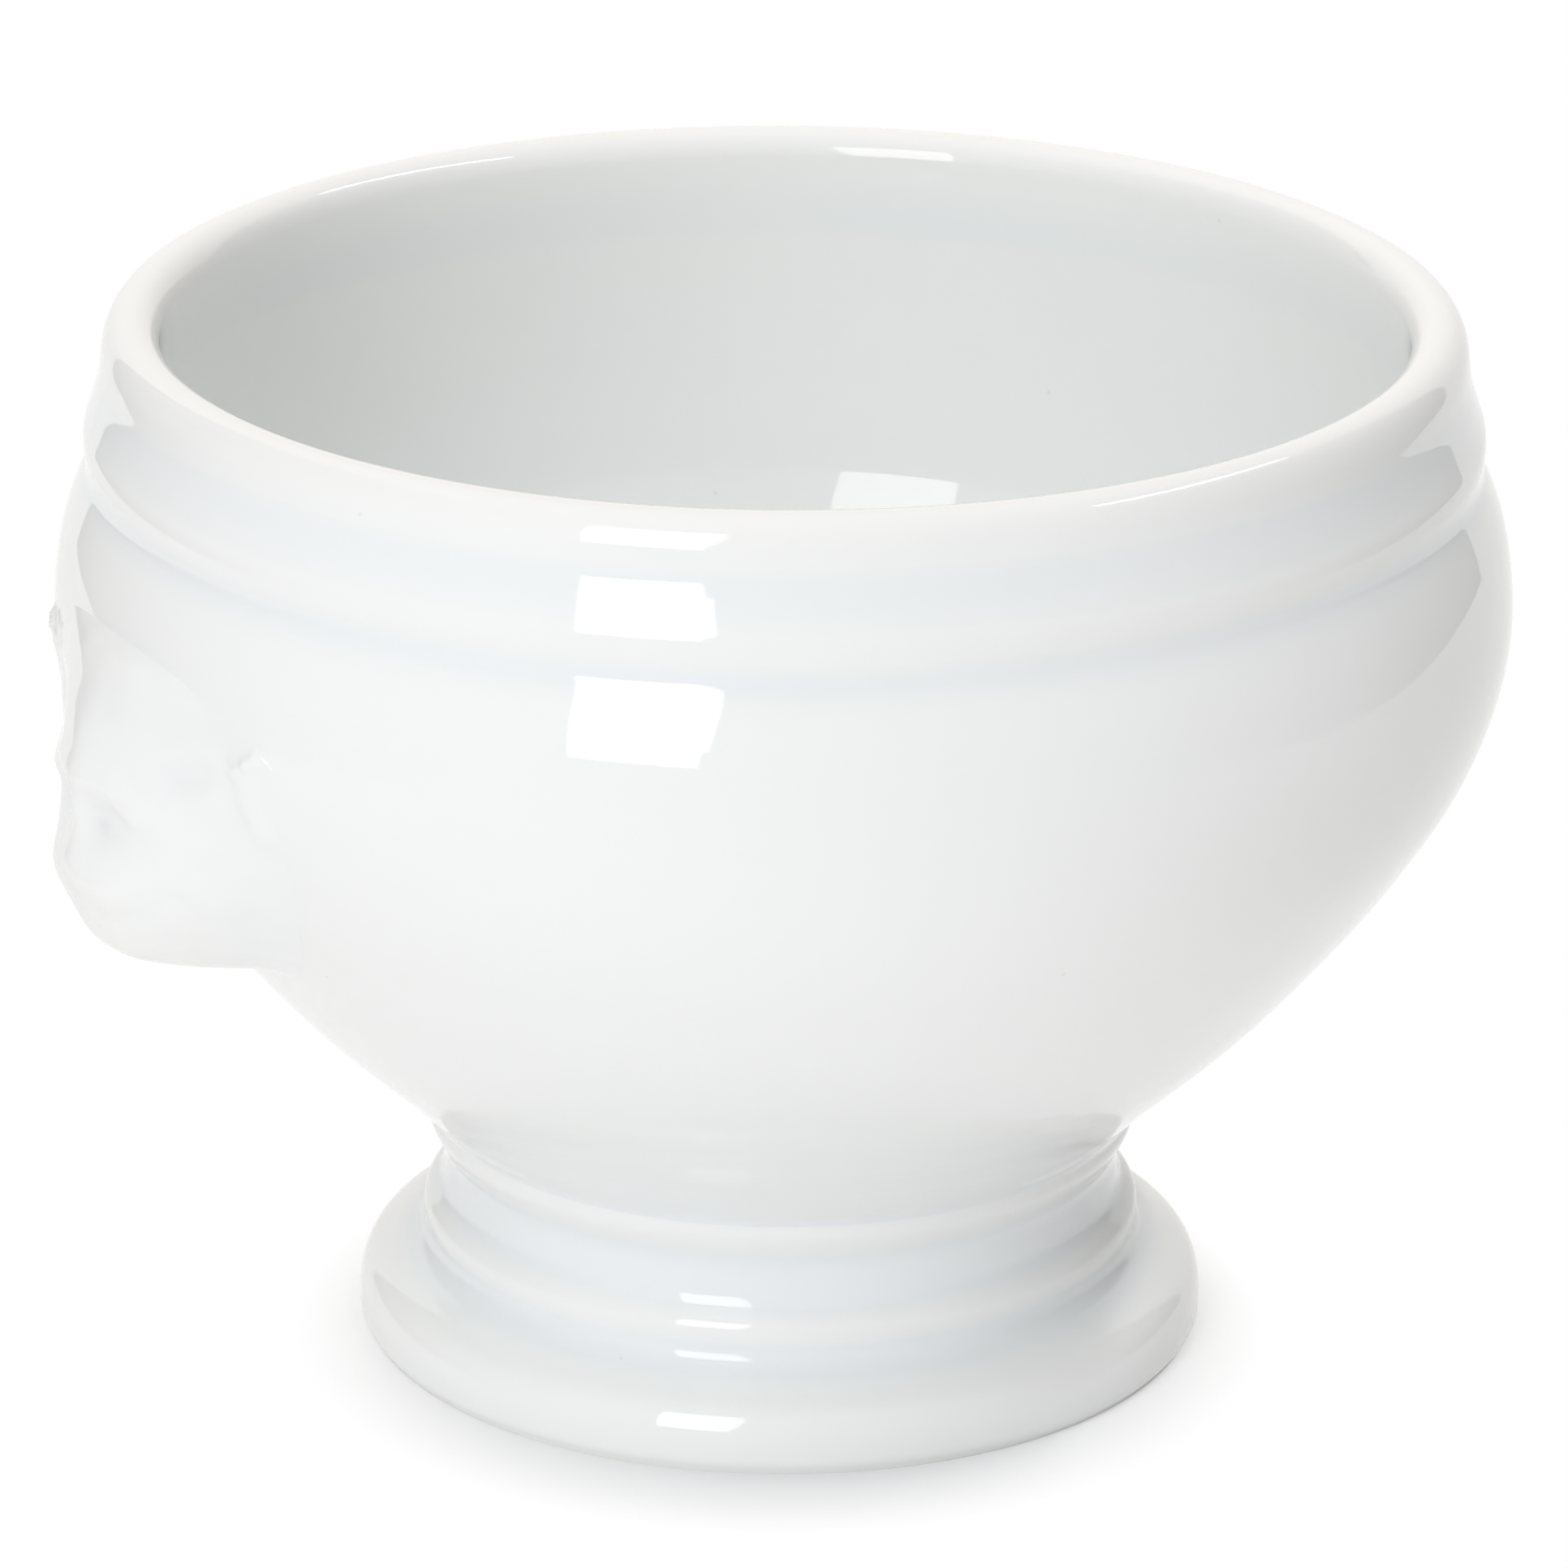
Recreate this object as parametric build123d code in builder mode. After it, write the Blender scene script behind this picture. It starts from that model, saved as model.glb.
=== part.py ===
"""Footed soup bowl of white glazed porcelain, with a lion's head in relief on each side.

Millimetres, +Z up. The origin is on the axis, on the surface that the foot stands on. The lion's
heads are on the X axis. Every member is formed apart and luted to the bowl's outer surface.
"""

from build123d import *
from math import cos, pi, radians, sin, sqrt, tan
import os

os.makedirs("parts", exist_ok=True)

# Whole object
overall_height = 94.4
belly_radius = 64.0
belly_drop = 26.1
wall = 4.6
quarter_turn = 90.0

# Bowl: rolled lip and the band under it
lip_crown_inset = 4.5
lip_outer_roll = 2.4
lip_inner_roll = 2.3
lip_outer_drop = 3.6
lip_inner_drop = 2.6
band_top_drop = 5.3
band_top_flare = 0.65
ridge_inset = 2.8
ridge_drop = 11.2
ridge_round = 0.6
crease_depth = 0.25
crease_drop = 12.65
belly_start_drop = 13.15

# Bowl: flank, neck fillet and floor
cone_angle = 45.0
cone_end_radius = 32.7
neck_fillet_rise = 1.3
floor_thickness = 4.2
floor_round_rise = 2.4
belly_pull_share = 0.33
cone_pull_share = 0.54

# Foot: turned outline
foot_height = 20.9
foot_radius = 38.0
foot_base_break = 0.6
foot_side_height = 2.2
foot_roll_height = 4.6
foot_roll_inset = 1.1
groove_height = 9.1
groove_radius = 32.7
groove_depth = 0.5
bead_radius = 32.4
bead_height = 10.5
bead_top_height = 12.5
bead_top_radius = 31.4
cove_radius = 30.2
cove_height_share = 0.584
neck_ring_radius = 31.9
neck_ring_drop = 1.6
neck_ring_half_width = 1.15
neck_ring_round = 0.7
neck_inset = 0.3

# Foot: hollow underside with its standing ring
standing_ring_width = 4.0
standing_ring_break = 0.5
foot_wall = 4.4
underside_step_height = 3.6

# Lion's heads
head_bottom_drop = 23.6
head_height = 29.7
head_half_width = 22.4
head_relief = 10.6
head_back_depth = 9.0
head_edge_bite = 0.8

# How far out from the middle the face is given, as shares of each level's half width.
head_across_shares = (0.12, 0.26, 0.42, 0.60, 0.80, 1.00)

# Each row is one level of the head, from below the chin up: height, half width, then how far the
# face stands out from the bowl's wall, at the middle and at the places above but the last. The
# first level is cut off with the flat underside, and the last lies inside the wall.
head_level_shares = (
    (-0.067, 0.49, 0.40, 0.39, 0.36, 0.29, 0.20, 0.09),
    (0.000, 0.535, 0.80, 0.78, 0.74, 0.61, 0.43, 0.20),
    (0.067, 0.585, 1.00, 0.98, 0.92, 0.77, 0.54, 0.25),
    (0.133, 0.64, 0.99, 0.97, 0.92, 0.75, 0.53, 0.25),
    (0.200, 0.69, 0.95, 0.95, 0.87, 0.72, 0.49, 0.24),
    (0.267, 0.76, 0.90, 0.91, 0.87, 0.72, 0.50, 0.22),
    (0.333, 0.82, 0.83, 0.79, 0.73, 0.61, 0.44, 0.21),
    (0.400, 0.875, 0.70, 0.64, 0.56, 0.48, 0.35, 0.16),
    (0.467, 0.92, 0.58, 0.48, 0.40, 0.36, 0.26, 0.11),
    (0.533, 0.965, 0.51, 0.40, 0.31, 0.29, 0.20, 0.08),
    (0.600, 0.99, 0.48, 0.46, 0.41, 0.30, 0.18, 0.06),
    (0.667, 1.00, 0.40, 0.37, 0.28, 0.18, 0.09, 0.04),
    (0.733, 0.985, 0.29, 0.26, 0.20, 0.12, 0.05, 0.02),
    (0.800, 0.945, 0.20, 0.17, 0.14, 0.09, 0.04, 0.01),
    (0.867, 0.87, 0.115, 0.115, 0.10, 0.07, 0.04, 0.01),
    (0.933, 0.78, 0.03, 0.035, 0.04, 0.03, 0.01, -0.01),
    (1.000, 0.69, -0.10, -0.10, -0.10, -0.10, -0.10, -0.10),
)

# Sizes that follow from those above
lip_top = overall_height
belly_height = overall_height - belly_drop
ridge_radius = belly_radius - ridge_inset
lip_crown_radius = ridge_radius - lip_crown_inset
band_top = overall_height - band_top_drop
band_top_radius = lip_crown_radius + lip_outer_roll + band_top_flare
ridge_height = overall_height - ridge_drop
crease_height = overall_height - crease_drop
crease_radius = ridge_radius - crease_depth
belly_start_height = overall_height - belly_start_drop
neck_radius = neck_ring_radius - neck_inset
neck_ring_height = foot_height - neck_ring_drop
ring_foot_height = neck_ring_height - neck_ring_half_width
cove_height = bead_top_height + cove_height_share * (ring_foot_height - bead_top_height)
ring_side_radius = neck_ring_radius - neck_ring_round
cone_end_height = foot_height + neck_fillet_rise
floor_height = foot_height + floor_thickness
foot_bore_radius = cove_radius - foot_wall
head_bottom = belly_height - head_bottom_drop


def flank(top, bottom):
    """Curve from the belly's widest point, upright there, to the cone that runs to the neck."""
    drop = top[1] - bottom[1]
    run = cone_pull_share * (top[0] - bottom[0])
    return Bezier(
        top,
        (top[0], top[1] - belly_pull_share * drop),
        (bottom[0] + run, bottom[1] + run * tan(radians(cone_angle))),
        bottom,
    )


def bowl_outline():
    """Outer face of the bowl, from the middle of its seat up to the crown of the lip."""
    seat = Line((0, foot_height), (neck_radius, foot_height))
    cone_end = (cone_end_radius, cone_end_height)
    cone_way = (-cos(radians(cone_angle)), -sin(radians(cone_angle)))
    TangentArc(cone_end, seat @ 1, tangent=cone_way)
    flank((belly_radius, belly_height), cone_end)
    belly_start = (crease_radius, belly_start_height)
    TangentArc((belly_radius, belly_height), belly_start, tangent=(0, 1))
    crease_floor = (crease_radius - ridge_round / 4, crease_height)
    Line(belly_start, crease_floor)
    ridge_foot = (ridge_radius - ridge_round / 4, ridge_height - ridge_round)
    Line(crease_floor, ridge_foot)
    ridge_crown = (ridge_radius - ridge_round / 4, ridge_height + ridge_round)
    ThreePointArc(ridge_foot, (ridge_radius, ridge_height), ridge_crown)
    Line(ridge_crown, (band_top_radius, band_top))
    lip_side = (lip_crown_radius + lip_outer_roll, lip_top - lip_outer_drop)
    Line((band_top_radius, band_top), lip_side)
    EllipticalCenterArc(
        (lip_crown_radius, lip_top - lip_outer_drop),
        lip_outer_roll,
        lip_outer_drop,
        start_angle=0,
        arc_size=quarter_turn,
    )


def make_bowl_form():
    """The bowl as if it were solid, which the heads are seated against."""
    with BuildPart() as form:
        with BuildSketch(Plane.XZ):
            with BuildLine():
                bowl_outline()
                Line((lip_crown_radius, lip_top), (0, lip_top))
                Line((0, lip_top), (0, foot_height))
            make_face()
        revolve(axis=Axis.Z)
    return form


def make_hollow():
    """The space inside the bowl, from its floor up to the crown of the lip."""
    inner_belly = (belly_radius - wall, belly_height)
    flank_end_height = floor_height + floor_round_rise
    normal_shift = wall / sin(radians(cone_angle))
    rise_over_cone = flank_end_height - cone_end_height
    flank_end = (
        cone_end_radius + rise_over_cone / tan(radians(cone_angle)) - normal_shift,
        flank_end_height,
    )
    round_run = floor_round_rise / tan(radians(cone_angle / 2))
    throat = (lip_crown_radius - lip_inner_roll, lip_top - lip_inner_drop)
    with BuildPart() as hollow:
        with BuildSketch(Plane.XZ):
            with BuildLine():
                floor = Line((0, floor_height), (flank_end[0] - round_run, floor_height))
                TangentArc(floor @ 1, flank_end, tangent=(1, 0))
                flank(inner_belly, flank_end)
                TangentArc(inner_belly, throat, tangent=(0, 1))
                EllipticalCenterArc(
                    (lip_crown_radius, throat[1]),
                    lip_inner_roll,
                    lip_inner_drop,
                    start_angle=quarter_turn,
                    arc_size=quarter_turn,
                )
                Line((lip_crown_radius, lip_top), (0, lip_top))
                Line((0, lip_top), (0, floor_height))
            make_face()
        revolve(axis=Axis.Z)
    return hollow


def foot_outline():
    """Outer face of the foot, from the standing ring up to the seat."""
    base = (foot_radius - foot_base_break, 0)
    side_foot = (foot_radius, foot_base_break)
    side_top = (foot_radius, foot_side_height)
    roll_end = (foot_radius - foot_roll_inset, foot_roll_height)
    Line(base, side_foot)
    Line(side_foot, side_top)
    TangentArc(side_top, roll_end, tangent=(0, 1))
    groove_edge = (groove_radius, groove_height)
    Line(roll_end, groove_edge)
    bead_foot = (groove_radius - groove_depth, groove_height)
    Line(groove_edge, bead_foot)
    bead_top = (bead_top_radius, bead_top_height)
    ThreePointArc(bead_foot, (bead_radius, bead_height), bead_top)
    ring_foot = (ring_side_radius, ring_foot_height)
    ThreePointArc(bead_top, (cove_radius, cove_height), ring_foot)
    ring_top = (ring_side_radius, neck_ring_height + neck_ring_half_width)
    ThreePointArc(ring_foot, (neck_ring_radius, neck_ring_height), ring_top)
    Line(ring_top, (neck_radius, foot_height))


def make_foot():
    """Turned pedestal, open underneath, that the bowl is luted to."""
    ring_inner_radius = foot_radius - foot_base_break - standing_ring_width
    step_radius = ring_inner_radius - standing_ring_break
    with BuildPart() as foot:
        with BuildSketch(Plane.XZ):
            with BuildLine():
                foot_outline()
                Line((neck_radius, foot_height), (foot_bore_radius, foot_height))
                Line((foot_bore_radius, foot_height), (foot_bore_radius, cove_height))
                Bezier(
                    (foot_bore_radius, cove_height),
                    (foot_bore_radius, bead_height),
                    (groove_radius - groove_depth, groove_height - foot_wall),
                    (step_radius, underside_step_height),
                )
                Line((step_radius, underside_step_height), (step_radius, standing_ring_break))
                Line((step_radius, standing_ring_break), (ring_inner_radius, 0))
                Line((ring_inner_radius, 0), (foot_radius - foot_base_break, 0))
            make_face()
        revolve(axis=Axis.Z)
    return foot


def form_radius(form, height):
    """Radius of the bowl's outer face at a height."""
    disc = section(form.part, section_by=Plane.XY.offset(height), mode=Mode.PRIVATE)
    return sqrt(disc.area / pi)


def head_level(form, shares):
    """One level section of the head: a face that follows the bowl's wall, over a straight back."""
    height_share, width_share, *relief_shares = shares
    height = head_bottom + height_share * head_height
    half_width = width_share * head_half_width
    wall_radius = form_radius(form, height)
    reliefs = [share * head_relief for share in relief_shares] + [-head_edge_bite]
    spots = []
    for across_share, relief in zip((0, *head_across_shares), reliefs):
        across = half_width * across_share
        spots.append((sqrt(wall_radius**2 - across**2) + relief, across))
    back = spots[-1][0] - head_back_depth
    left = [(x, -y) for x, y in reversed(spots)]
    left_shares = [-share for share in reversed(head_across_shares)]
    face = Edge.make_spline(
        [*left, *spots[1:]],
        parameters=[*left_shares, 0, *head_across_shares],
    )
    with BuildSketch(Plane.XY.offset(height)) as level:
        with BuildLine():
            add(face)
            Line(spots[-1], (back, half_width))
            Line((back, half_width), (back, -half_width))
            Line((back, -half_width), left[0])
        make_face()
    return level


def make_head(form):
    """Lion's head on the +X side, lofted level by level and cut to seat on the bowl's wall."""
    with BuildPart() as head:
        add([head_level(form, shares).sketch for shares in head_level_shares])
        loft()
        split(bisect_by=Plane.XY.offset(head_bottom), keep=Keep.TOP)
        add(form.part, mode=Mode.SUBTRACT)
    return head


# The bowl with its hollow
bowl_form = make_bowl_form()
bowl_hollow = make_hollow()
with BuildPart() as bowl_body:
    add(bowl_form.part)
    add(bowl_hollow.part, mode=Mode.SUBTRACT)
bowl_body.part.label = "bowl_body"
export_step(bowl_body.part, "parts/bowl_body.step")

# The foot under it
pedestal_foot = make_foot()
pedestal_foot.part.label = "pedestal_foot"
export_step(pedestal_foot.part, "parts/pedestal_foot.step")

# The heads, one on each side
lion_head = make_head(bowl_form)
for side_name, turn in (("lion_head_right", 0), ("lion_head_left", 180)):
    with BuildPart() as placed_head:
        with Locations(Location((0, 0, 0), (0, 0, turn))):
            add(lion_head.part)
    placed_head.part.label = side_name
    export_step(placed_head.part, f"parts/{side_name}.step")
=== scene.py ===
import math

import bmesh
import bpy
import numpy as np
from mathutils import Matrix, Vector
from mathutils.geometry import interpolate_bezier


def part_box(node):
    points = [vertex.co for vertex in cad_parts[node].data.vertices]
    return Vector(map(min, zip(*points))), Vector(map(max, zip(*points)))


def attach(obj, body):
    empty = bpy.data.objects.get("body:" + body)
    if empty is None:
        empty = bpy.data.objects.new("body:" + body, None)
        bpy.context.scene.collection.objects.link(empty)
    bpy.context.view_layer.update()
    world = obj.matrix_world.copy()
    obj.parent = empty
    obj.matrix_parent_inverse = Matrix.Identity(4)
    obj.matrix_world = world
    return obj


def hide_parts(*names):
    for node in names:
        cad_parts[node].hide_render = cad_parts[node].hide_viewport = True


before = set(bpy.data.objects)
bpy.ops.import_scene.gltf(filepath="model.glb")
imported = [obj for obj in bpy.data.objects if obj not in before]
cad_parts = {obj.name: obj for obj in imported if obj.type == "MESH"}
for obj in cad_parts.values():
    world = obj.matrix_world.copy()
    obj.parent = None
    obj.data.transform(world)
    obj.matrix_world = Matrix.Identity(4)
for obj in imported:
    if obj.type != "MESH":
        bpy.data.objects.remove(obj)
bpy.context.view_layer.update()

# Viewpoint
# The photograph was taken with a long lens from above the rim's height, 28 degrees round from the
# front, so that one lion's head stands at the left edge and the other is hidden behind the bowl.
camera_turn = math.radians(-28.0)
camera_lift = math.radians(20.28)
camera_distance = 0.7485
camera_aim = Vector((0.0, 0.0, 0.05))
camera_roll = math.radians(0.33)
camera_back = Vector((
    math.sin(camera_turn) * math.cos(camera_lift),
    -math.cos(camera_turn) * math.cos(camera_lift),
    math.sin(camera_lift),
))
camera_data = bpy.data.cameras.new("camera")
camera_data.sensor_width = 36.0
camera_data.lens = 193.55
camera_data.shift_x = 0.0008
camera_data.clip_start = 0.05
camera = bpy.data.objects.new("camera", camera_data)
bpy.context.scene.collection.objects.link(camera)
camera.location = camera_aim + camera_distance * camera_back
camera.rotation_mode = "QUATERNION"
camera_level = (-camera_back).to_track_quat("-Z", "Y")
camera.rotation_quaternion = camera_level @ Matrix.Rotation(camera_roll, 3, "Z").to_quaternion()
bpy.context.scene.camera = camera
bpy.context.scene.view_settings.view_transform = "Standard"


# Floor
# Smooth white paper under the crock, drawn up as a white wall behind it. The camera and the glaze
# see it as plain white, apart from the shade that the foot throws close round itself.
class Socket:
    """A shader socket that takes Python's arithmetic and adds the Math nodes it needs."""

    def __init__(self, tree, source):
        self.tree = tree
        self.source = source

    def node(self, kind, settings=(), **inputs):
        """Adds a node, sets it up, then fills or links its sockets by name, or by _ and a number."""
        made = self.tree.nodes.new(kind)
        for name, value in dict(settings).items():
            setattr(made, name, value)
        for name, value in inputs.items():
            socket = made.inputs[int(name[1:])] if name[1:].isdigit() else made.inputs[name]
            if isinstance(value, Socket):
                self.tree.links.new(value.source, socket)
            else:
                socket.default_value = value
        return made

    def out(self, kind, output, settings=(), **inputs):
        return Socket(self.tree, self.node(kind, settings, **inputs).outputs[output])

    def maths(self, operation, first, second):
        return self.out("ShaderNodeMath", "Value", {"operation": operation}, _0=first, _1=second)

    def __add__(self, other):
        return self.maths("ADD", self, other)

    __radd__ = __add__

    def __mul__(self, other):
        return self.maths("MULTIPLY", self, other)

    def __sub__(self, other):
        return self.maths("SUBTRACT", self, other)

    def __rsub__(self, other):
        return self.maths("SUBTRACT", other, self)

    def __truediv__(self, other):
        return self.maths("DIVIDE", self, other)

    def __gt__(self, other):
        return self.maths("GREATER_THAN", self, other)

    def power(self, other):
        return self.maths("POWER", self, other)

    def clamped(self):
        return self.out("ShaderNodeClamp", "Result", Value=self)

    def along(self, way):
        """How far this vector reaches along a way."""
        return self.out("ShaderNodeVectorMath", "Value", {"operation": "DOT_PRODUCT"}, _0=self, _1=way)

    def feeds(self, socket):
        self.tree.links.new(self.source, socket)


plain_white = (1.0, 1.0, 1.0, 1.0)


def new_material(name):
    """A node material with its principled shader, and a starting socket for shader maths."""
    material = bpy.data.materials.new(name)
    material.use_nodes = True
    shader = material.node_tree.nodes["Principled BSDF"]
    return material, shader, Socket(material.node_tree, None)


def tinted(share, colour, other):
    """A colour turned towards another by a share."""
    return share.out("ShaderNodeMix", 2, {"data_type": "RGBA"}, _0=share, _6=colour, _7=other)


def plain_glow(start, strength, colour=plain_white):
    """An emission of one brightness and colour, where 1 and white are the picture's white."""
    return start.out("ShaderNodeEmission", "Emission", Color=colour, Strength=strength)


def cover(start, share, shader, other):
    """Mixes two shaders by a share and makes the result the material's surface."""
    both = start.out("ShaderNodeMixShader", 0, _0=share, _1=shader, _2=other)
    both.feeds(start.tree.nodes["Material Output"].inputs["Surface"])


def background_seen(start):
    """1 for the rays that show the background: from the camera, off a gloss or through a glass."""
    rays = start.node("ShaderNodeLightPath")
    camera_ray, glossy_ray, transmission_ray = (
        Socket(start.tree, rays.outputs[f"Is {kind} Ray"]) for kind in ("Camera", "Glossy", "Transmission")
    )
    return (camera_ray + glossy_ray + transmission_ray).clamped()


def add_sheet(name, wide, tall, place, material):
    """A flat sheet of the studio, made where it lies or stands."""
    sheet = bmesh.new()
    bmesh.ops.create_grid(sheet, x_segments=1, y_segments=1, size=0.5)
    bmesh.ops.transform(sheet, matrix=place @ Matrix.Diagonal((wide, tall, 1.0, 1.0)), verts=sheet.verts)
    data = bpy.data.meshes.new(name)
    sheet.to_mesh(data)
    sheet.free()
    data.materials.append(material)
    made = bpy.data.objects.new(name, data)
    bpy.context.scene.collection.objects.link(made)
    return made


# The studio is squared to the camera: x across the picture, y away from the camera, z up.
studio = Matrix.Rotation(camera_turn, 4, "Z")
across_way = studio.to_3x3() @ Vector((1.0, 0.0, 0.0))
away_way = studio.to_3x3() @ Vector((0.0, 1.0, 0.0))
paper_white = (0.92, 0.92, 0.92, 1.0)
# Painted shade: the paper's own colour, made darker close round the foot.
paper_painted_shade = (0.84, 0.84, 0.85, 1.0)
paper_glow = 0.05
# The shade round the foot fades out inside this oval: half its width and depth, how far its middle
# is from the foot's towards the camera, and the share of it where the shade is still full.
shade_wide = 0.0435
shade_deep = 0.0445
shade_forward = 0.0045
shade_core = 0.74


def make_paper():
    """Matt white paper: plain white, but as lit inside the foot's shade, where its colour is painted
    darker.
    """
    material, shader, start = new_material("white floor paper")
    material.cycles.emission_sampling = "NONE"
    shader.inputs["Roughness"].default_value = 1.0
    shader.inputs["Specular IOR Level"].default_value = 0.0
    shader.inputs["Emission Color"].default_value = plain_white
    shader.inputs["Emission Strength"].default_value = paper_glow
    place = start.out("ShaderNodeTexCoord", "Object")
    across = place.along(across_way) / shade_wide
    away = (place.along(away_way) + shade_forward) / shade_deep
    ring = (across * across + away * away).power(0.5)
    fade = ((ring - shade_core) / (1.0 - shade_core)).clamped()
    # Painted shade: the paper's colour darkens towards the foot, on top of its real shadow there.
    tinted(fade, paper_painted_shade, paper_white).feeds(shader.inputs["Base Color"])
    lit_paper = Socket(start.tree, shader.outputs["BSDF"])
    cover(start, background_seen(start) * fade, lit_paper, plain_glow(start, 1.0))
    return material


def make_lit_wall():
    """White paper lit from behind: it lights the crock softly, and the glaze sees it as white."""
    material, _, start = new_material("lit white wall")
    light = plain_glow(start, 1.0, wall_colour)
    cover(start, background_seen(start), light, plain_glow(start, 1.0))
    return material


floor_reach = 6.0
add_sheet("floor", floor_reach, floor_reach, studio, make_paper())
wall_colour = (1.1, 0.98, 0.9, 1.0)
wall_away = 0.385
wall_wide = 0.71
wall_middle = 0.045
wall_tall = 0.9
upright = Matrix.Rotation(math.radians(90.0), 4, "X")
wall_place = studio @ Matrix.Translation((wall_middle, wall_away, wall_tall / 2)) @ upright
wall = add_sheet("wall", wall_wide, wall_tall, wall_place, make_lit_wall())
wall.visible_camera = False

# Light
# Soft light from all round, one softbox on the left of the camera and a thin strip light on the
# right. Two grey cards, white towards the camera, give the white glaze its dark edges at the sides.
card_grey = 0.4
card_fade_start = 0.1
card_long = 0.72
card_tall = 0.5
card_places = {"left_card": -0.31, "right_card": 0.40}


def make_card():
    """A card that goes softly from grey beside the crock to white at its end by the camera."""
    material, _, start = new_material("graded card")
    material.cycles.emission_sampling = "NONE"
    away = start.out("ShaderNodeTexCoord", "Object").along(away_way)
    white = ((card_fade_start - away) / (card_fade_start + card_long - wall_away)).clamped()
    cover(start, white, plain_glow(start, card_grey), plain_glow(start, 1.0))
    return material


graded_card = make_card()
sideways = Matrix.Rotation(math.radians(90.0), 4, "Z") @ upright
for card_name, across in card_places.items():
    middle = Vector((across, wall_away - card_long / 2, card_tall / 2))
    card_place = studio @ Matrix.Translation(middle) @ sideways
    card = add_sheet(card_name, card_long, card_tall, card_place, graded_card)
    # Only the glaze sees the cards: they hold back none of the light.
    card.visible_camera = card.visible_diffuse = card.visible_shadow = False

# Each lobe of soft light: turn from the camera and lift in degrees, how narrow it is, its strength,
# and its tint: 0 for the warm lamps round the room, 1 for the cool window light low at the front.
lobes = (
    (0.0, 42.0, 10.0, 0.98, 0.2),
    (90.0, 42.0, 10.0, 0.16, 0.0),
    (0.0, 85.0, 10.0, 0.78, 0.0),
    (-22.0, 15.0, 24.0, 0.9, 1.0),
    (-22.0, 42.0, 24.0, 1.4, 0.35),
    (-100.0, 25.0, 24.0, 0.85, 0.0),
    (-120.0, 62.0, 24.0, 2.6, 0.0),
)
lamp_warm = (1.03, 0.995, 0.97, 1.0)
lamp_cool = (0.89, 1.0, 1.105, 1.0)


def way_to(turn, lift):
    """Direction from the bowl, by the turn from the camera and the lift over the floor."""
    angle = camera_turn + math.radians(turn)
    rise = math.radians(lift)
    return Vector((math.sin(angle) * math.cos(rise), -math.cos(angle) * math.cos(rise), math.sin(rise)))


world = bpy.data.worlds.new("studio")
world.use_nodes = True
bpy.context.scene.world = world
sky = Socket(world.node_tree, None)
outward = sky.out("ShaderNodeTexCoord", "Generated")
level = cool_level = 0.0
for turn, lift, narrowness, strength, coolness in lobes:
    lobe = outward.along(way_to(turn, lift)).clamped().power(narrowness) * strength
    level = lobe + level
    cool_level = lobe * coolness + cool_level
shown = background_seen(sky)
faintest_level = 0.001
lamp_tint = tinted(cool_level / (level + faintest_level), lamp_warm, lamp_cool)
room = world.node_tree.nodes["Background"]
tinted(shown, lamp_tint, plain_white).feeds(room.inputs["Color"])
(shown + (1.0 - shown) * level).feeds(room.inputs["Strength"])


def add_panel(name, spot, along, width, height, brightness):
    """A flat light that faces the bowl with its width along a given way."""
    data = bpy.data.lights.new(name, "AREA")
    data.shape = "RECTANGLE"
    data.size = width
    data.size_y = height
    data.energy = brightness * math.pi * width * height
    panel = bpy.data.objects.new(name, data)
    bpy.context.scene.collection.objects.link(panel)
    look = (spot - camera_aim).normalized()
    side = (along - along.dot(look) * look).normalized()
    panel.location = spot
    panel.rotation_mode = "QUATERNION"
    panel.rotation_quaternion = Matrix((side, look.cross(side), look)).transposed().to_quaternion()


# The softbox has its two right corners folded back, so it is a wide panel and a short one beside it:
# each with how far its middle is to the right of the softbox's, its width and its height.
softbox_panels = (
    ("softbox", -0.014, 0.425, 0.8),
    ("softbox_flap", 0.2095, 0.022, 0.46),
)
softbox_way = way_to(-21.4, 22.5)
softbox_side = Vector((0.0, 0.0, 1.0)).cross(softbox_way).normalized()
softbox_away = 1.2
softbox_bright = 3.9
for name, across, width, height in softbox_panels:
    panel_spot = camera_aim + softbox_away * softbox_way + across * softbox_side
    add_panel(name, panel_spot, softbox_side, width, height, softbox_bright)
strip_spot = studio @ Vector((0.64, 0.2, 1.0))
strip_side = studio.to_3x3() @ Vector((0.12, 0.99, 0.0))
strip_long = 0.7
strip_wide = 0.06
strip_bright = 21.0
add_panel("strip", strip_spot, strip_side, strip_long, strip_wide, strip_bright)

# Bowl
# One turned body of white porcelain under a clear glaze: rolled lip, flaring band with a soft
# ridge at its lower edge, wide belly and a cone that runs down to the neck of the foot.
mm = 0.001
bowl_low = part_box("bowl_body")[0]

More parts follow.
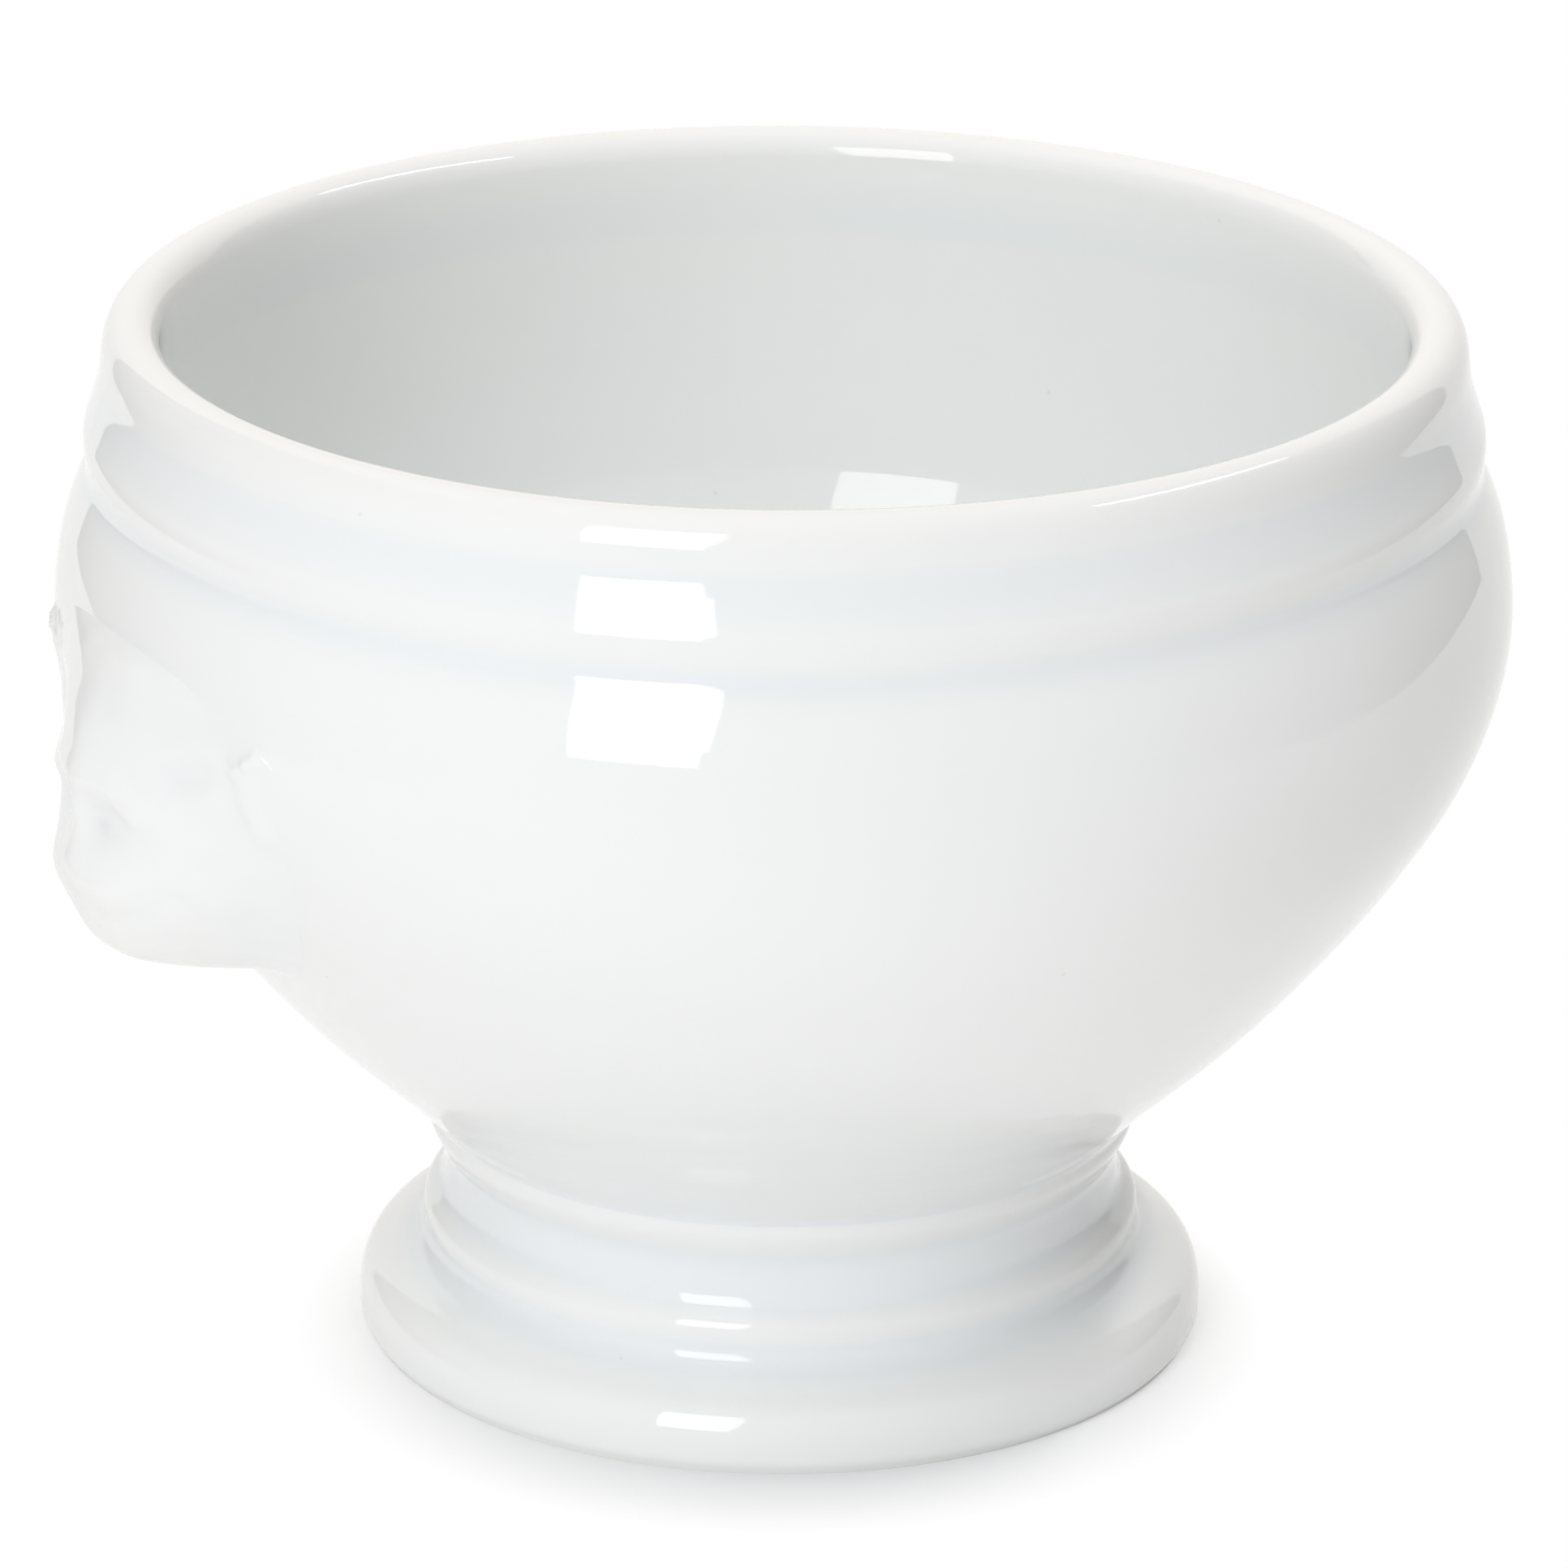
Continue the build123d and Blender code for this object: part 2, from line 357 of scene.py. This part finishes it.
# Each row is a station on the turner's template: radius and height in millimetres, and the lean
# of the surface from upright in degrees, 90 where it is level. The list runs up the outside, over
# the lip and down the inside.
bowl_stations = (
    (31.85, 20.9, -14.0),
    (32.4, 21.8, -43.0),
    (36.6, 26.0, -47.0),
    (43.5, 32.5, -44.5),
    (50.5, 40.4, -39.5),
    (56.4, 48.2, -33.5),
    (60.4, 54.7, -26.5),
    (63.0, 61.4, -15.5),
    (64.0, 68.3, 0.0),
    (63.3, 74.7, 11.5),
    (61.22, 80.4, 26.0),
    (61.03, 80.95, 10.0),
    (60.96, 81.7, 0.0),
    (61.08, 82.8, -8.0),
    (61.15, 83.7, 0.0),
    (61.02, 84.8, 12.5),
    (60.75, 85.6, 18.5),
    (60.42, 86.6, 17.5),
    (59.75, 89.1, 10.5),
    (59.55, 90.6, 5.0),
    (59.32, 92.2, 11.0),
    (58.78, 93.4, 30.0),
    (56.7, 94.4, 90.0),
    (54.9, 93.5, 143.0),
    (54.4, 91.9, 183.0),
    (54.97, 88.0, 193.0),
    (55.98, 84.0, 195.0),
    (57.45, 78.0, 192.5),
    (58.45, 72.0, 186.5),
    (58.66, 68.3, 180.0),
    (56.75, 58.4, 157.0),
    (51.1, 48.5, 142.5),
    (42.2, 38.3, 136.3),
    (31.5, 27.5, 135.0),
    (25.7, 25.1, 90.0),
    (0.0, 25.1, 90.0),
)
# The outside of the wall, up to the crown of the lip, is this many of them.
outside_stations = 23
turn_steps = 320
sharpest_turn = math.radians(50.0)
doubles_gap = 0.002 * mm
wall_step = 1.0 * mm
fewest_steps = 4
# Hollows are measured about this wide, in millimetres, for the painted shade laid in them.
hollow_reach = 2.2


def turned_line(stations, longest):
    """Points of a smooth line that passes each station at its lean, none further apart than longest."""
    line = [Vector((stations[0][0], 0.0, stations[0][1])) * mm]
    for (r0, z0, lean0), (r1, z1, lean1) in zip(stations, stations[1:]):
        start_point = Vector((r0, 0.0, z0)) * mm
        end_point = Vector((r1, 0.0, z1)) * mm
        reach = (end_point - start_point).length / 3 / math.cos(math.radians(lean1 - lean0) / 4) ** 2
        start_way = Vector((-math.sin(math.radians(lean0)), 0.0, math.cos(math.radians(lean0))))
        end_way = Vector((-math.sin(math.radians(lean1)), 0.0, math.cos(math.radians(lean1))))
        steps = max(fewest_steps, math.ceil((end_point - start_point).length / longest))
        line += interpolate_bezier(
            start_point, start_point + reach * start_way, end_point - reach * end_way, end_point, steps
        )[1:]
    return line


def hollow_depth(line, reach):
    """How far each point lies inside the line's run as a whole, in millimetres, under 0 on edges."""
    spots = np.array([(point.x, point.z) for point in line]) / mm
    gaps = np.hypot(*np.diff(spots, axis=0).T)
    run = np.concatenate(([0.0], np.cumsum(gaps)))
    shares = (np.append(gaps, 0.0) + np.insert(gaps, 0, 0.0)) / 2
    weights = np.exp(-0.5 * ((run[:, None] - run[None, :]) / reach) ** 2) * shares
    weights /= weights.sum(axis=1, keepdims=True)
    ways = np.gradient(spots, axis=0)
    ways /= np.hypot(*ways.T)[:, None]
    drift = weights @ spots - spots
    return drift[:, 0] * ways[:, 1] - drift[:, 1] * ways[:, 0]


def spin_line(name, line, closed):
    """Turns a line round the upright axis into a closed, smooth-shaded object."""
    turned = bmesh.new()
    hollowness = turned.verts.layers.float.new("hollow_depth")
    points = [turned.verts.new(point) for point in line]
    for point, depth in zip(points, hollow_depth(line, hollow_reach)):
        point[hollowness] = depth
    pairs = list(zip(points, points[1:]))
    if closed:
        pairs.append((points[-1], points[0]))
    edges = [turned.edges.new(pair) for pair in pairs]
    bmesh.ops.spin(
        turned,
        geom=points + edges,
        cent=(0.0, 0.0, 0.0),
        axis=(0.0, 0.0, 1.0),
        angle=math.tau,
        steps=turn_steps,
        use_merge=True,
    )
    bmesh.ops.remove_doubles(turned, verts=turned.verts, dist=doubles_gap)
    bmesh.ops.recalc_face_normals(turned, faces=turned.faces)
    data = bpy.data.meshes.new(name)
    turned.to_mesh(data)
    turned.free()
    data.shade_smooth()
    data.set_sharp_from_angle(angle=sharpest_turn)
    piece = bpy.data.objects.new(name, data)
    bpy.context.scene.collection.objects.link(piece)
    return piece


glaze_white = (0.893, 0.910, 0.901, 1.0)
# Painted shade: a darker, bluer tint laid in hollows and along the band, also used for faint random
# clouds.
glaze_cloud_and_shade = (0.850, 0.880, 0.900, 1.0)
glaze_thin = (0.904, 0.907, 0.892, 1.0)
glaze_speck = (0.700, 0.690, 0.660, 1.0)
bare_body = (0.840, 0.825, 0.790, 1.0)
# Zones of height in millimetres, each with its lowest and highest place and the width of its soft
# edges: the glazed part above the wiped ring, the shallow hollow of the band, which gets painted
# shade, and where the turning rings show through, low on the cone and on the foot's slope.
glazed_zone = (0.3, 200.0, 0.15)
band_zone = (85.0, 89.5, 1.5)
cone_rings_zone = (26.0, 33.0, 4.0)
foot_rings_zone = (4.5, 8.0, 1.0)
ring_pitch = 1.35
speck_size = 0.045
speck_crispness = 60.0
speck_rareness = 0.86


def make_porcelain():
    """White porcelain under a clear gloss glaze that thins on edges; hollows and the band get painted
    shade.
    """
    material, shader, start = new_material("glazed white porcelain")
    place = start.out("ShaderNodeTexCoord", "Object")
    height = start.out("ShaderNodeSeparateXYZ", "Z", _0=place) / mm

    def noise(scale, detail=2.0):
        """A soft noise from 0 to 1, its grain given per metre."""
        return start.out("ShaderNodeTexNoise", 0, Vector=place, Scale=scale, Detail=detail)

    def turning_rings(pitch):
        """Fine rings left by the turner's tool, their pitch in millimetres."""
        settings = {"wave_type": "BANDS", "bands_direction": "Z"}
        scale = math.tau / (20.0 * pitch * mm)
        uneven = {"Distortion": 1.5, "Detail": 2.0, "Detail Scale": 0.06}
        return start.out("ShaderNodeTexWave", 1, settings, Vector=place, Scale=scale, **uneven)

    def zone(low, high, soft):
        """1 between two heights, fading to 0 over a soft margin, all in millimetres."""
        rise = ((height - (low - soft)) / soft).clamped()
        return rise * (((high + soft) - height) / soft).clamped()

    # Shares of each tint: painted shade in hollows and along the band, thin on edges, bare on the wiped
    # ring.
    hollowness = start.out("ShaderNodeAttribute", "Fac", {"attribute_name": "hollow_depth"})
    clouds = noise(70.0)
    painted_shade_share = (hollowness * 3.2 + zone(*band_zone) * 0.6 + (clouds - 0.5) * 0.25).clamped()
    thin = (hollowness * -2.0 - 0.12).clamped()
    bare = 1.0 - zone(*glazed_zone)
    cells = start.node("ShaderNodeTexVoronoi", Vector=place, Scale=190.0)
    near = Socket(start.tree, cells.outputs["Distance"])
    pick = start.out("ShaderNodeSeparateColor", 0, _0=Socket(start.tree, cells.outputs["Color"]))
    speck = ((speck_size - near) * speck_crispness).clamped() * (pick > speck_rareness)

    # Painted shade: the glaze is tinted darker and bluer in hollows and along the band.
    colour = tinted(painted_shade_share * 0.8, glaze_white, glaze_cloud_and_shade)
    colour = tinted(thin * 0.7, colour, glaze_thin)
    colour = tinted((clouds - 0.45).clamped() * 0.1, colour, glaze_cloud_and_shade)
    colour = tinted(speck * 0.35, colour, glaze_speck)
    tinted(bare, colour, bare_body).feeds(shader.inputs["Base Color"])
    (0.03 + noise(45.0) * 0.015 + bare * 0.5).feeds(shader.inputs["Roughness"])

    # Heights in millimetres: the glaze's slow waves, its fine orange peel, the turning rings that
    # show through it, and the grain of the bare ring.
    rings = zone(*cone_rings_zone) * 0.7 + zone(*foot_rings_zone) * 0.5 + 0.1
    relief = noise(95.0) * 0.006 + noise(420.0, 1.0) * 0.0009
    relief = relief + turning_rings(ring_pitch) * rings * 0.0022
    relief = relief + bare * noise(2600.0) * 0.02
    bump = start.out("ShaderNodeBump", "Normal", Strength=1.0, Distance=mm, Height=relief)
    bump.feeds(shader.inputs["Normal"])
    return material


porcelain = make_porcelain()
bowl_line = turned_line(bowl_stations, wall_step)
bowl_line.append(Vector((0.0, 0.0, bowl_low[2])))
bowl = spin_line("glazed_bowl", bowl_line, closed=False)
bowl.data.materials.append(porcelain)
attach(bowl, "root")
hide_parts("bowl_body")

# Foot
# A turned pedestal luted under the bowl: neck ring, cove, bead, groove, sloping top and a thick
# rounded edge. It is open underneath and stands on a flat ring that is left bare of glaze.
foot_stations = (
    (37.3, 0.0, 0.0),
    (38.0, 1.2, 0.0),
    (38.0, 2.4, 0.0),
    (37.86, 3.75, 11.0),
    (37.34, 5.1, 31.0),
    (36.75, 5.8, 50.0),
    (34.3, 7.15, 60.0),
    (32.82, 7.95, 50.0),
    (32.37, 8.45, 31.0),
    (32.15, 9.05, 11.0),
    (32.1, 9.5, 0.0),
    (32.13, 9.9, -5.0),
    (32.15, 10.6, 0.0),
    (32.09, 11.15, 11.0),
    (31.89, 11.65, 31.0),
    (31.2, 12.4, 47.0),
    (30.8, 12.85, 32.0),
    (30.45, 13.7, 11.0),
    (30.32, 14.7, 5.0),
    (30.25, 15.8, 0.0),
    (30.5, 17.2, -21.0),
    (31.2, 18.5, -29.0),
    (31.72, 19.7, -12.0),
    (31.8, 20.5, 0.0),
    (31.85, 20.9, -14.0),
)
foot_hollow_stations = (
    (25.8, 20.9, 180.0),
    (25.8, 15.8, 180.0),
    (27.2, 11.04, 208.0),
    (29.1, 8.12, 217.0),
    (31.5, 5.22, 222.0),
    (32.9, 3.6, 212.0),
)
foot_step = 0.4 * mm
# The hollow ends in a small bevel on the inner edge of the standing ring.
ring_bevel = [Vector((32.9 * mm, 0.0, 0.5 * mm)), Vector((33.4 * mm, 0.0, 0.0))]
foot_line = turned_line(foot_stations, foot_step)
foot_line += turned_line(foot_hollow_stations, wall_step)
foot_line += ring_bevel
foot = spin_line("glazed_foot", foot_line, closed=True)
foot.data.materials.append(porcelain)
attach(foot, "root")
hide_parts("pedestal_foot")

# Lion's heads
# Two like masks pressed in a mould and luted to the belly, one each side. The glaze has run over
# them and left every edge round, so the brows, eyes, muzzle and mane are soft.
head_columns = 150
head_fine_levels = 1200
head_row_gap = 0.3
head_back_gap = 1.5
head_spread = 1.07
# Each row is a level of the mask in millimetres: height, half width, then how far it stands out
# from the wall at the middle and at one, two and three quarters of the half width.
head_levels = (
    (43.4, 9.4, -0.4, -0.4, -0.4, -0.4),
    (44.2, 9.8, 0.2, 0.2, 0.1, 0.0),
    (44.6, 10.0, 3.0, 2.7, 1.5, 0.1),
    (45.0, 10.6, 7.2, 6.8, 4.3, 0.7),
    (45.5, 11.5, 9.3, 8.9, 6.1, 1.5),
    (46.3, 12.8, 10.3, 9.8, 6.8, 1.9),
    (48.0, 14.6, 10.5, 9.8, 6.6, 1.9),
    (50.4, 16.7, 10.5, 9.7, 6.4, 1.8),
    (52.9, 18.4, 9.6, 8.8, 5.9, 1.7),
    (54.9, 19.6, 8.0, 7.2, 4.7, 1.5),
    (57.6, 20.9, 6.3, 5.4, 3.4, 1.2),
    (60.0, 21.5, 5.4, 4.3, 2.6, 1.0),
    (63.2, 22.4, 4.5, 3.2, 1.05, 0.2),
    (66.0, 22.2, 3.2, 2.3, 0.8, 0.1),
    (68.8, 21.1, 2.2, 1.6, 0.55, 0.05),
    (71.3, 18.6, 1.6, 1.4, 0.6, 0.05),
    (72.9, 15.2, 1.3, 1.1, 0.45, 0.0),
    (73.9, 12.6, -0.1, -0.1, -0.15, -0.2),
    (74.6, 10.5, -0.5, -0.5, -0.5, -0.5),
)
# The side of the mask runs out on the wall in a soft hollow curve and ends a little inside it.
head_places = (0.0, 0.25, 0.5, 0.74, 0.87, 1.0)
head_foot_share = 0.28
head_edge_sink = -0.12
# How far the mould's levels and then its modelling are rounded, in rows of the grid, and the share
# of the hollows' depth that is kept on the masks, which sets the painted shade in them.
head_level_round = 3.2
head_detail_round = 1.2
head_hollow_share = 0.4
# Soft lumps and hollows, the same on both sides of the middle: how far out from the middle, height,
# half length across and upright, and how much they add.
head_lumps = (
    (0.0, 65.0, 6.0, 2.6, 0.35),
    (3.5, 59.2, 2.6, 1.6, -0.7),
    (4.2, 59.0, 1.3, 0.9, 0.35),
    (0.0, 58.6, 1.9, 3.6, 0.4),
    (0.0, 54.2, 3.4, 1.8, 0.35),
    (4.6, 53.2, 3.6, 2.2, 0.3),
    (0.0, 51.2, 1.1, 2.0, -0.15),
    (0.0, 47.4, 5.4, 1.8, 0.3),
    (12.0, 55.6, 5.0, 4.0, 0.3),
    (8.6, 60.9, 2.6, 1.5, 0.3),
)
# Soft ridges and creases: the points that they run through, their half width, and what they add.
head_lines = (
    (((0.0, 62.2), (4.9, 62.4), (7.9, 60.9)), 1.2, 0.5),
    (((9.6, 62.4), (15.5, 64.0)), 1.7, 0.25),
    (((10.4, 64.6), (14.6, 66.0)), 1.3, -0.3),
    (((3.5, 50.3), (7.0, 51.3), (10.8, 53.8)), 1.0, -0.4),
    (((12.6, 51.6), (15.6, 53.2)), 1.1, -0.15),
    (((18.6, 67.4), (21.4, 69.4)), 0.9, 0.4),
    (((19.6, 67.4), (19.3, 65.0), (20.2, 62.4)), 1.1, 0.25),
    (((13.5, 57.4), (17.4, 59.6), (20.6, 60.6)), 1.1, -0.12),
    (((15.4, 61.4), (19.0, 62.8)), 1.1, -0.12),
)
# The tip of the ear is the one crisp edge, where the glaze has drawn thin: given as the lines are.
head_ear_tip = (((20.1, 68.5), (21.0, 69.2)), 0.5, 0.42)


def wall_radius(heights):
    """Radius of the bowl's outer face at heights in metres."""
    outer = [(point.z, point.x) for point in turned_line(bowl_stations[:outside_stations], wall_step)]
    return np.interp(heights, *zip(*outer))


def blurred(field, reach):
    """A field smoothed along both of its directions, as a glaze rounds what it covers."""
    steps = np.arange(-3 * math.ceil(reach), 3 * math.ceil(reach) + 1)
    weights = np.exp(-0.5 * (steps / reach) ** 2)
    weights /= weights.sum()
    for axis in (0, 1):
        padding = [(0, 0), (0, 0)]
        padding[axis] = (len(steps) // 2, len(steps) // 2)
        padded = np.pad(field, padding, mode="edge")
        field = np.apply_along_axis(np.convolve, axis, padded, weights, "valid")
    return field


def line_distance(across, height, points):
    """Distance in the plane of the face from each place to a run of straight lines."""
    nearest = np.full(across.shape, np.inf)
    for (y0, z0), (y1, z1) in zip(points, points[1:]):
        length_squared = (y1 - y0) ** 2 + (z1 - z0) ** 2
        share = ((across - y0) * (y1 - y0) + (height - z0) * (z1 - z0)) / length_squared
        share = np.clip(share, 0.0, 1.0)
        gap = np.hypot(across - y0 - share * (y1 - y0), height - z0 - share * (z1 - z0))
        nearest = np.minimum(nearest, gap)
    return nearest


def head_surface():
    """Places of the mask's front, row by row from the chin up: arrays of x, y and z in metres."""
    table = np.array(head_levels)
    fine = np.linspace(table[0, 0], table[-1, 0], head_fine_levels)
    middle = wall_radius(fine * mm) / mm + np.interp(fine, table[:, 0], table[:, 2])
    run = np.concatenate(([0.0], np.cumsum(np.hypot(np.diff(middle), np.diff(fine)))))
    rows = round(run[-1] / head_row_gap)
    heights = np.interp(np.linspace(0.0, run[-1], rows + 1), run, fine)
    shares = np.linspace(-1.0, 1.0, head_columns + 1)
    half_widths = np.interp(heights, table[:, 0], table[:, 1]) * head_spread
    across = half_widths[:, None] * shares[None, :]
    height = np.broadcast_to(heights[:, None], across.shape)
    spots = [np.interp(heights, table[:, 0], table[:, column]) for column in range(2, 6)]
    spots += [spots[-1] * head_foot_share, np.full(len(heights), head_edge_sink)]
    relief = np.array([np.interp(np.abs(shares), head_places, row) for row in zip(*spots)])
    relief = blurred(relief, head_level_round)
    side = np.abs(across)
    for y0, z0, ry, rz, amount in head_lumps:
        relief = relief + amount * np.exp(-(((side - y0) / ry) ** 2) - ((height - z0) / rz) ** 2)
    for points, width, amount in head_lines:
        relief = relief + amount * np.exp(-((line_distance(side, height, points) / width) ** 2))
    relief = blurred(relief, head_detail_round)
    points, width, amount = head_ear_tip
    relief = relief + amount * np.exp(-((line_distance(side, height, points) / width) ** 2))
    radius = wall_radius(heights * mm)[:, None] / mm
    out = np.sqrt(radius**2 - across**2) + relief
    back = np.sqrt(radius**2 - across**2) - head_back_gap
    hollowness = head_hollow_share * (blurred(relief, hollow_reach / head_row_gap) - relief)
    return out * mm, back * mm, across * mm, height * mm, hollowness


def make_head(name, side):
    """One mask: a fine grid laid on the wall and raised, closed by a second grid inside the wall."""
    out, back, across, height, mask_hollowness = head_surface()
    rows, columns = out.shape
    mask = bmesh.new()
    hollowness = mask.verts.layers.float.new("hollow_depth")
    loops = []
    for depth in (out, back):
        made = bmesh.ops.create_grid(mask, x_segments=columns - 1, y_segments=rows - 1, size=1.0)
        verts = made["verts"]
        for vert in verts:
            column = round((vert.co.x + 1.0) / 2.0 * (columns - 1))
            row = round((vert.co.y + 1.0) / 2.0 * (rows - 1))
            vert.co = (side * depth[row, column], side * across[row, column], height[row, column])
            vert[hollowness] = mask_hollowness[row, column]
        edges = {edge for vert in verts for edge in vert.link_edges if edge.is_boundary}
        loops += list(edges)
    bmesh.ops.bridge_loops(mask, edges=loops)
    bmesh.ops.recalc_face_normals(mask, faces=mask.faces)
    data = bpy.data.meshes.new(name)
    mask.to_mesh(data)
    mask.free()
    data.shade_smooth()
    data.materials.append(porcelain)
    piece = bpy.data.objects.new(name, data)
    bpy.context.scene.collection.objects.link(piece)
    return piece


for side_name, side in (("right", 1.0), ("left", -1.0)):
    head = make_head(f"lion_mask_{side_name}", side)
    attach(head, "root")
    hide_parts(f"lion_head_{side_name}")
